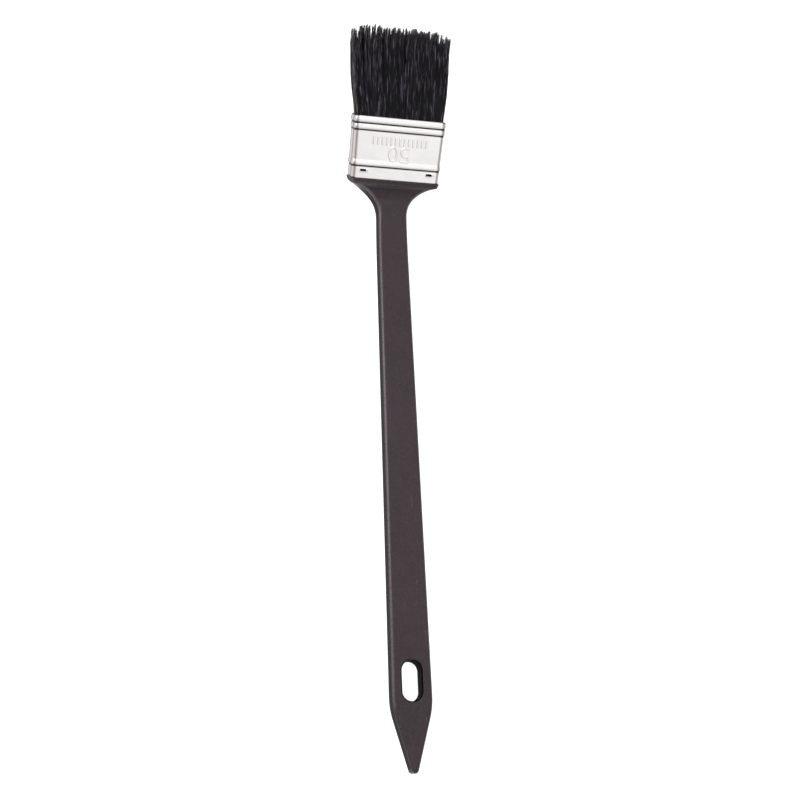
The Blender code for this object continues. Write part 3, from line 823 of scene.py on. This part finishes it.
def bristleMaterial():
    hair = Finish("blackBristle", Specular_IOR_Level=0.35)
    tone, reach, lane = (hair.attribute(name) for name in ("tone", "reach", "lane"))
    band = hair.noise(5 * mm, 2.0)
    fine = hair.noise(0.8 * mm, 3.0)
    # painted highlights: lighter streaks along the hairs, in lanes across the row
    run = hair.add("ShaderNodeCombineXYZ", None, {"X": lane * (5.0 / mm), "Y": reach * 8.0, "Z": tone * 0.5})
    paintedHairHighlight = hair.noise(1.0, 1.0, run).ramp(0.53, 0.68) * (0.35 + 0.85 * reach)
    dark = hair.blend(tone, pale(0.001, (1.0, 0.85, 1.5)), pale(0.008, (1.0, 0.78, 1.4)))
    lit = hair.blend(paintedHairHighlight * tone.ramp(0.05, 0.7), dark, pale(bristle["paintedHairHighlight"], (1.0, 0.84, 1.18)))
    brown = hair.blend(reach.ramp(0.85, 1.0) * 0.3, lit, pale(0.024, (1.0, 0.84, 0.86)))
    rough = 0.36 + 0.16 * band + 0.14 * fine
    return hair.feed(Base_Color=brown, Roughness=rough)


def envelope(node):
    # The solid row's sides at each of its own stations along the head
    found = headCorners(node)
    stations = np.unique(np.round(found[:, 1], 5))
    sides = []
    for along in stations:
        ring = found[abs(found[:, 1] - along) < 0.02 * mm]
        sides.append((ring[:, 0].min(), ring[:, 0].max(), ring[:, 2].min(), ring[:, 2].max()))
    return stations, np.array(sides)


def strandMesh(name, paths, radii, tone, reach, lane):
    # Closed tubes along paths of shape (hairs, rings, 3), written as one mesh
    hairs, rings = paths.shape[:2]
    sides = bristle["sides"]
    run = np.gradient(paths, axis=1)
    run /= np.linalg.norm(run, axis=2, keepdims=True)
    right = np.cross(run, np.array((0.0, 0.0, 1.0)))
    right /= np.linalg.norm(right, axis=2, keepdims=True)
    up = np.cross(right, run)
    turns = 2 * math.pi * np.arange(sides) / sides
    ring = (
        paths[:, :, None, :]
        + radii[:, :, None, None] * np.cos(turns)[None, None, :, None] * right[:, :, None, :]
        + radii[:, :, None, None] * np.sin(turns)[None, None, :, None] * up[:, :, None, :]
    )
    points = ring.reshape(-1, 3)
    hairStart = (np.arange(hairs) * rings * sides)[:, None, None]
    ringStart = (np.arange(rings - 1) * sides)[None, :, None]
    side = np.arange(sides)[None, None, :]
    after = (side + 1) % sides
    base = hairStart + ringStart
    quads = np.stack([base + side, base + after, base + sides + after, base + sides + side], -1).reshape(-1, 4)
    first = np.arange(hairs)[:, None] * rings * sides + np.arange(sides)[None, ::-1]
    last = np.arange(hairs)[:, None] * rings * sides + (rings - 1) * sides + np.arange(sides)[None, :]
    caps = np.concatenate([first, last])
    mesh = bpy.data.meshes.new(name)
    mesh.vertices.add(len(points))
    mesh.vertices.foreach_set("co", points.ravel())
    loops = np.concatenate([quads.ravel(), caps.ravel()])
    mesh.loops.add(len(loops))
    mesh.loops.foreach_set("vertex_index", loops)
    starts = np.concatenate([np.arange(len(quads)) * 4, 4 * len(quads) + np.arange(len(caps)) * sides])
    mesh.polygons.add(len(starts))
    mesh.polygons.foreach_set("loop_start", starts)
    mesh.update(calc_edges=True)
    mesh.shade_smooth()
    perHair = {"tone": np.repeat(tone, rings * sides), "lane": np.repeat(lane, rings * sides)}
    for label, values in (*perHair.items(), ("reach", np.repeat(reach.ravel(), sides))):
        mesh.attributes.new(label, "FLOAT", "POINT").data.foreach_set("value", values.astype(np.float32))
    # each hair has a strip of its own on the map
    columns = math.ceil(math.sqrt(hairs))
    cell = 1 / columns
    hairOf = loops // (rings * sides)
    ringOf = (loops // sides) % rings
    sideOf = loops % sides
    u = (hairOf % columns + 0.15 + 0.7 * sideOf / (sides - 1)) * cell
    v = (hairOf // columns + 0.1 + 0.8 * ringOf / (rings - 1)) * cell
    mesh.uv_layers.new(name="OFBake").data.foreach_set("uv", np.stack([u, v], 1).ravel().astype(np.float32))
    mesh.materials.append(hairFinish)
    piece = bpy.data.objects.new(name, mesh)
    bpy.context.scene.collection.objects.link(piece)
    return piece


def growRow(node, name, seed, shorter):
    chance = np.random.default_rng(seed)
    stations, sides = envelope(node)
    across, deep = bristle["across"], bristle["deep"]
    gridX, gridZ = np.meshgrid(np.arange(across), np.arange(deep), indexing="ij")
    # a runs across the row and b through it, both from -1 to 1
    gridX = gridX + 0.5 + chance.uniform(-0.42, 0.42, gridX.shape) + 0.5 * (gridZ % 2)
    a = (gridX / (across + 0.5) * 2 - 1).ravel()
    b = ((gridZ + 0.5 + chance.uniform(-0.40, 0.40, gridZ.shape)) / deep * 2 - 1).ravel()
    hairs = len(a)
    root, top = stations[0], stations[-1]
    widest = top - bristle["endsLevel"]

    def side(column, along):
        return np.interp(np.minimum(along, widest), stations, sides[:, column])

    halfSpan = (side(1, widest) - side(0, widest)) / 2
    clumpHome = np.round(a * halfSpan / bristle["clumpPitch"] + chance.normal(0, 0.28, hairs))
    clumpKeys, clumpOf = np.unique(clumpHome, return_inverse=True)
    clumpX = clumpKeys * bristle["clumpPitch"] / halfSpan + chance.normal(0, 0.012, len(clumpKeys))
    clumpZ = chance.uniform(-0.6, 0.6, len(clumpKeys))
    clumpTop = abs(chance.normal(0, bristle["clumpRagged"], len(clumpKeys)))
    past = np.clip((abs(a) - bristle["shoulderShare"]) / (1 - bristle["shoulderShare"]), 0, 1)
    offCentre = np.clip(abs(a - clumpX[clumpOf]) * halfSpan / (0.6 * bristle["clumpPitch"]), 0, 1.5)
    tips = top + bristle["past"] - chance.exponential(bristle["ragged"], hairs) - clumpTop[clumpOf]
    tips -= bristle["clumpPoint"] * offCentre**1.5
    drop = np.where(a < 0, *bristle["shoulderDrop"])
    outer = abs(a) > bristle["tuftShare"]
    thinned = (abs(a) > bristle["shoulderShare"]) & ~outer
    tips -= drop * past**1.4 * chance.uniform(0.3, 1.15, hairs) + shorter
    tips -= np.where(thinned, chance.uniform(0, 1, hairs) ** 0.7 * np.where(a < 0, *bristle["tuftGap"]), 0)
    share = np.linspace(0, 1, bristle["rings"]) ** 0.8
    along = root + (tips - root)[:, None] * share[None, :]
    out = np.clip((along - ferruleEnd) / (top - ferruleEnd), 0, 1)
    pull = bristle["clumpPull"] * (0.2 * out + 0.8 * eased((out - 0.80) / 0.22))
    spreadA = a[:, None] * (1 - pull) + clumpX[clumpOf][:, None] * pull
    spreadB = b[:, None] * (1 + bristle["spread"] * out - 0.2 * pull) + clumpZ[clumpOf][:, None] * 0.2 * pull
    midX, halfX = (side(0, along) + side(1, along)) / 2, (side(1, along) - side(0, along)) / 2
    midZ, halfZ = (side(2, along) + side(3, along)) / 2, (side(3, along) - side(2, along)) / 2
    phase = chance.uniform(0, 2 * math.pi, (2, hairs))[:, :, None]
    clumpWave, hairWave = bristle["wave"]
    bow = chance.normal(0, clumpWave, (2, len(clumpKeys)))[:, clumpOf] + chance.normal(0, hairWave, (2, hairs))
    bow = bow[:, :, None] * out**1.6
    wobble = bristle["wobble"] * np.sin(phase + 5 * out) * out
    drift = chance.normal(0, bristle["clumpDrift"], len(clumpKeys))[clumpOf][:, None]
    drift = drift * out**1.3 * (1 - a[:, None] ** 4)
    x = midX + spreadA * halfX * 0.985 + bow[0] + wobble[0] + drift
    z = midZ + spreadB * halfZ + 0.6 * bow[1] + wobble[1]
    stray = chance.random(hairs) < bristle["strays"]
    flick = np.where(stray, chance.normal(0, bristle["strayReach"], hairs), 0)[:, None] * out**2
    x, z = x + flick, z + 0.5 * flick
    leftOut, rightOut = bristle["tuftOut"]
    sideTuft = np.where(a < 0, -leftOut, rightOut) * chance.uniform(0.2, 1, hairs)
    x += np.where(outer, sideTuft, 0)[:, None] * out**2.5
    thick = bristle["rootRadius"] * chance.uniform(0.75, 1.25, hairs)[:, None]
    radii = thick + (bristle["tipRadius"] - thick) * share[None, :] ** 2.2
    paths = np.stack([x, along, z], 2) @ np.array(headToWorld)[:3, :3].T + np.array(headToWorld)[:3, 3]
    bundle = np.sin(a * halfSpan / bristle["bundlePitch"] + 4 * b) * 0.22
    tone = np.clip(0.38 + bundle + 0.28 * chance.normal(size=hairs) + 0.5 * (chance.random(hairs) < 0.07), 0, 1)
    lane = a * halfSpan + seed * 10 * mm
    piece = strandMesh(name, paths, radii, tone, np.broadcast_to(share, (hairs, len(share))), lane)
    settle(piece, "bristle", node)
    print(name, hairs, "hairs")


def fillerMaterial():
    board = Finish("fillerBoard")
    fibre = board.noise(1.2 * mm, 4.0, board.stretched(8.0, 1.0, 1.0))
    tone = board.blend(fibre, pale(0.42, (1.0, 0.82, 0.6)), pale(0.28, (1.0, 0.78, 0.52)))
    return board.feed(Base_Color=tone, Roughness=0.62 + 0.2 * fibre, Normal=board.bump(fibre, 0.08 * mm))


def resinMaterial():
    resin = Finish("amberResin")
    cloud = resin.noise(3 * mm, 3.0)
    bubble = resin.noise(0.5 * mm, 1.0).ramp(0.68, 0.75)
    tone = resin.blend(cloud, pale(0.30, (1.0, 0.62, 0.27)), pale(0.22, (1.0, 0.55, 0.2)))
    return resin.feed(Base_Color=tone, Roughness=0.22 + 0.3 * bubble, Normal=resin.bump(bubble, -0.1 * mm))


def wear(node, material, slot):
    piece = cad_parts[node]
    piece.data.materials.clear()
    piece.data.materials.append(material)


# The rest of the sizes that the handle takes from the solid
tailHalfWidth = float(tailPoints[:, 0].max()) + handle["barPastSolid"]
onHeadPoints = headCorners("handle")
shoulderHalfThick = float(onHeadPoints[onHeadPoints[:, 1] > ferruleStart - 3 * mm][:, 2].max())

handleFinish, steelFinish, hairFinish = handleMaterial(), steelMaterial(), bristleMaterial()
print("materials made")
buildHandle()
buildFerrule()
buildLanceTabs()
growRow("bristle_row_front", "bristleFront", 11, 0.5 * mm)
growRow("bristle_row_middle", "bristleMiddle", 12, 1.2 * mm)
growRow("bristle_row_back", "bristleBack", 13, 0.0)
board, resin = fillerMaterial(), resinMaterial()
wear("filler_strip_front", board, "filler")
wear("filler_strip_back", board, "filler")
wear("epoxy_setting", resin, "epoxy")
print("pieces made")


# Studio: a pale floor, a soft sky that is darker low down on the tail's side, and two soft lamps
studio = {
    "floorSize": 6.0,
    "floorGlow": 0.93,
    "floorBelow": 0.02 * mm,
    "sky": 1.0,
    "skyLow": 0.60,
    "skyEdges": (0.08, 0.58),
    "skyLean": (0.6, 0.55),
    "top": {"place": (-0.25, 0.35, 1.3), "size": 1.1, "power": 3.0},
    "side": {"place": (-0.95, 0.42, 0.62), "size": 0.4, "power": 9.0},
}
view = {
    "aimAside": -6.78 * mm,
    "aimPast": -110.56 * mm,
    "distance": 645.35 * mm,
    "tilt": 19.64,
    "swing": 12.74,
    "roll": -2.09,
    "lens": 50.23,
}


def buildStudio():
    half = studio["floorSize"] / 2
    glow = studio["floorGlow"]
    floorFinish = Finish("paleFloor", Roughness=0.8, Specular_IOR_Level=0.1, Emission_Strength=glow)
    floorFinish.shader.inputs["Emission Color"].default_value = pale(1.0)
    haze = floorFinish.noise(0.4, 2.0)
    floorFinish.feed(Base_Color=floorFinish.blend(haze, pale(0.42), pale(0.46)))
    corner = [(x * half, y * half, -studio["floorBelow"]) for x, y in ((-1, -1), (1, -1), (1, 1), (-1, 1))]
    makeMesh("floor", corner, [(0, 1, 2, 3)], floorFinish.material)
    for name in ("top", "side"):
        spec = studio[name]
        lamp = bpy.data.lights.new(name + "Lamp", "AREA")
        lamp.shape, lamp.size, lamp.energy = "DISK", spec["size"], spec["power"]
        holder = bpy.data.objects.new(name + "Lamp", lamp)
        holder.location = spec["place"]
        toBrush = Vector((0, 0.05, 0)) - Vector(spec["place"])
        holder.rotation_mode = "QUATERNION"
        holder.rotation_quaternion = toBrush.to_track_quat("-Z", "Y")
        bpy.context.scene.collection.objects.link(holder)
    world = bpy.data.worlds.new("studio")
    bpy.context.scene.world = world
    world.use_nodes = True
    air, sky = Nodes(world.node_tree), world.node_tree.nodes["Background"]
    place = air.add("ShaderNodeTexCoord", output="Generated")
    x, y, z = (air.add("ShaderNodeSeparateXYZ", None, {0: place}, output=axis) for axis in "XYZ")
    leanX, leanY = studio["skyLean"]
    height = (leanX * x + z + leanY * y).ramp(*studio["skyEdges"])
    strength = studio["skyLow"] + (studio["sky"] - studio["skyLow"]) * height
    air.tree.links.new(strength.socket, sky.inputs["Strength"])
    sky.inputs["Color"].default_value = pale(1.0, (1.0, 0.995, 0.99))
    bpy.context.scene.view_settings.view_transform = "Standard"


def aimCamera():
    # The camera stands over the tail's side of the brush, turned a little about each axis
    lens = bpy.data.cameras.new("camera")
    lens.sensor_width, lens.lens = 36.0, view["lens"]
    holder = bpy.data.objects.new("camera", lens)
    tilt, swing, roll = (math.radians(view[name]) for name in ("tilt", "swing", "roll"))
    turned = Matrix.Rotation(roll, 3, "Z") @ Matrix.Rotation(swing, 3, "Y") @ Matrix.Rotation(-tilt, 3, "X")
    offset = Vector((view["aimAside"], -view["aimPast"], -view["distance"]))
    place = turned.transposed() @ (-offset) + Vector((0, bend.y, 0))
    holder.matrix_world = Matrix.Translation(place) @ turned.transposed().to_4x4()
    bpy.context.scene.collection.objects.link(holder)
    bpy.context.scene.camera = holder


buildStudio()
aimCamera()
print("studio and camera set")
